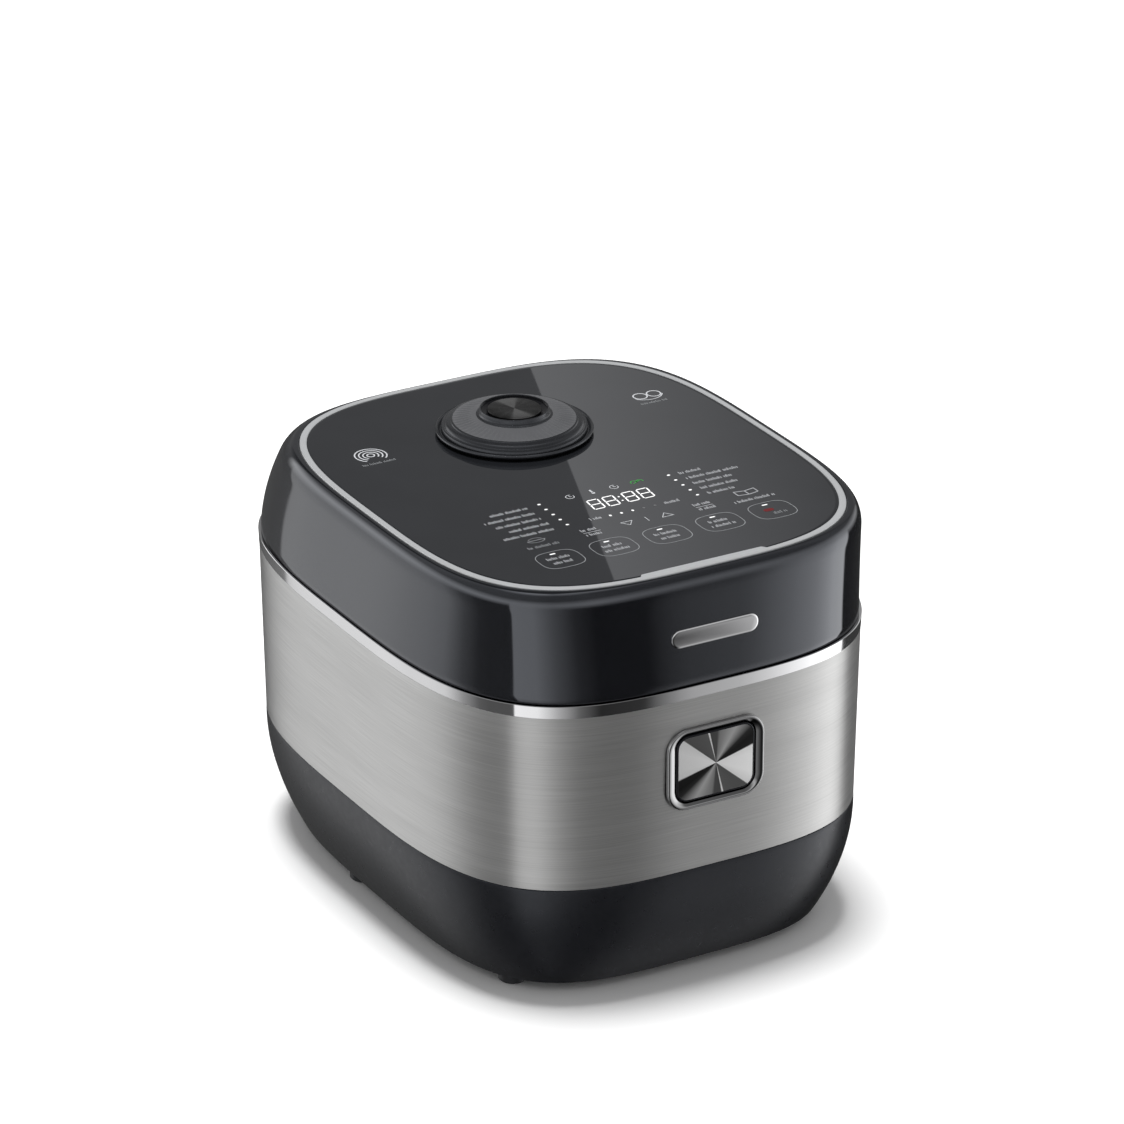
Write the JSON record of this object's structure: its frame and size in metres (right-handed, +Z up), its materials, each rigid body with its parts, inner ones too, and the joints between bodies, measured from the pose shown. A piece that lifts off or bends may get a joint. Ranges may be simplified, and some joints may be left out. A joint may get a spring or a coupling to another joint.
{
  "type": "rice cooker",
  "caption": "Induction rice cooker with a tapered plastic base, brushed steel wall, hinged lid with touch panel, lift-out steam cap and push-button latch",
  "frame": {"origin": "centre of the outer box's underside, on the surface that the feet stand on", "axes": "+X to the right seen from the front, +Y from the button towards the lid hinge, +Z up"},
  "size_m": [0.284, 0.366, 0.272],
  "materials": {
    "base_plastic": "fine moulded texture",
    "inner_plastic": "satin moulded",
    "white_plastic": "heat resistant, satin",
    "lid_gloss": "high gloss",
    "panel_gloss": "high gloss touch panel with printed keys",
    "silver_trim": "satin silver",
    "steel_wall": "horizontal brushing",
    "chrome": "mirror plated",
    "spun_metal": "concentric turned face",
    "aluminium": "plain",
    "zinc_steel": "plated",
    "pot_coating": "speckled non-stick",
    "copper_wire": "enamelled stranded wire",
    "ferrite": "sintered",
    "circuit_board": "solder mask",
    "component_body": "sleeved",
    "display_window": "clear front",
    "light_guide": "translucent",
    "rubber_black": "matte",
    "silicone_grey": "soft silicone"
  },
  "bodies": {
    "root": {"base_shell": "base_plastic", "bottom_cover": "base_plastic", "rubber_feet": "rubber_black", "base_screws": "zinc_steel", "body_liner": "inner_plastic", "steel_skin": "steel_wall", "chrome_band": "chrome", "rear_cover": "base_plastic", "upper_deck": "lid_gloss", "hinge_barrel": "lid_gloss", "hinge_pin": "zinc_steel", "hinge_springs": "zinc_steel", "coil_bowl": "inner_plastic", "inner_pot": "pot_coating", "coil_bottom": "copper_wire", "coil_side": "copper_wire", "coil_tray": "white_plastic", "ferrite_bars": "ferrite", "sensor_housing": "white_plastic", "sensor_spring": "zinc_steel", "power_board": "circuit_board", "heat_sink": "aluminium", "board_components": "component_body", "mains_inlet": "base_plastic", "inlet_pins": "zinc_steel", "mains_wires": "component_body", "fan_frame": "inner_plastic", "button_bezel": "chrome", "button_guide": "inner_plastic", "latch_bracket": "inner_plastic", "latch_pin": "zinc_steel", "latch_spring": "zinc_steel"},
    "button": {"open_button": "spun_metal"},
    "latch": {"latch_lever": "zinc_steel"},
    "sensor": {"sensor_cap": "aluminium"},
    "fan": {"fan_rotor": "inner_plastic"},
    "lid": {"lid_shell": "lid_gloss", "trim_ring": "silver_trim", "top_panel": "panel_gloss", "control_board": "circuit_board", "display_module": "display_window", "light_guides": "light_guide", "name_plate": "chrome", "lid_base": "inner_plastic", "lid_heater": "aluminium", "inner_lid": "aluminium", "lid_gasket": "silicone_grey", "steam_duct": "silicone_grey", "cap_socket": "inner_plastic", "catch_plate": "zinc_steel"},
    "steam_valve": {"steam_cap": "silver_trim", "cap_insert": "spun_metal", "steam_cup": "inner_plastic", "cup_seal": "silicone_grey"}
  },
  "joints": [
    {"name": "lid_hinge", "type": "hinge", "parent": "root", "child": "lid", "pos_m": [0, 0.166, 0.203], "axis": [-1, 0, 0], "range_deg": [0, 90]},
    {"name": "open_button_press", "type": "slide", "parent": "root", "child": "button", "axis": [0, 1, 0], "range_m": [0, 0.003], "stiffness_N_per_m": 400},
    {"name": "latch_swing", "type": "hinge", "parent": "root", "child": "latch", "pos_m": [0, -0.158, 0.16], "axis": [1, 0, 0], "range_deg": [0, 8.8]},
    {"name": "sensor_plunge", "type": "slide", "parent": "root", "child": "sensor", "axis": [0, 0, 1], "range_m": [-0.003, 0], "stiffness_N_per_m": 400, "deforming": ["sensor_spring"]},
    {"name": "fan_spin", "type": "hinge", "parent": "root", "child": "fan", "pos_m": [0.045, 0.112, 0.0185], "axis": [0, 0, 1], "continuous": true},
    {"name": "steam_valve_lift", "type": "slide", "parent": "lid", "child": "steam_valve", "axis": [0, 0, 1], "range_m": [0, 0.06]}
  ],
  "couplings": [
    {"joint": "latch_swing", "follows": "open_button_press", "rad_per_m": 50}
  ]
}
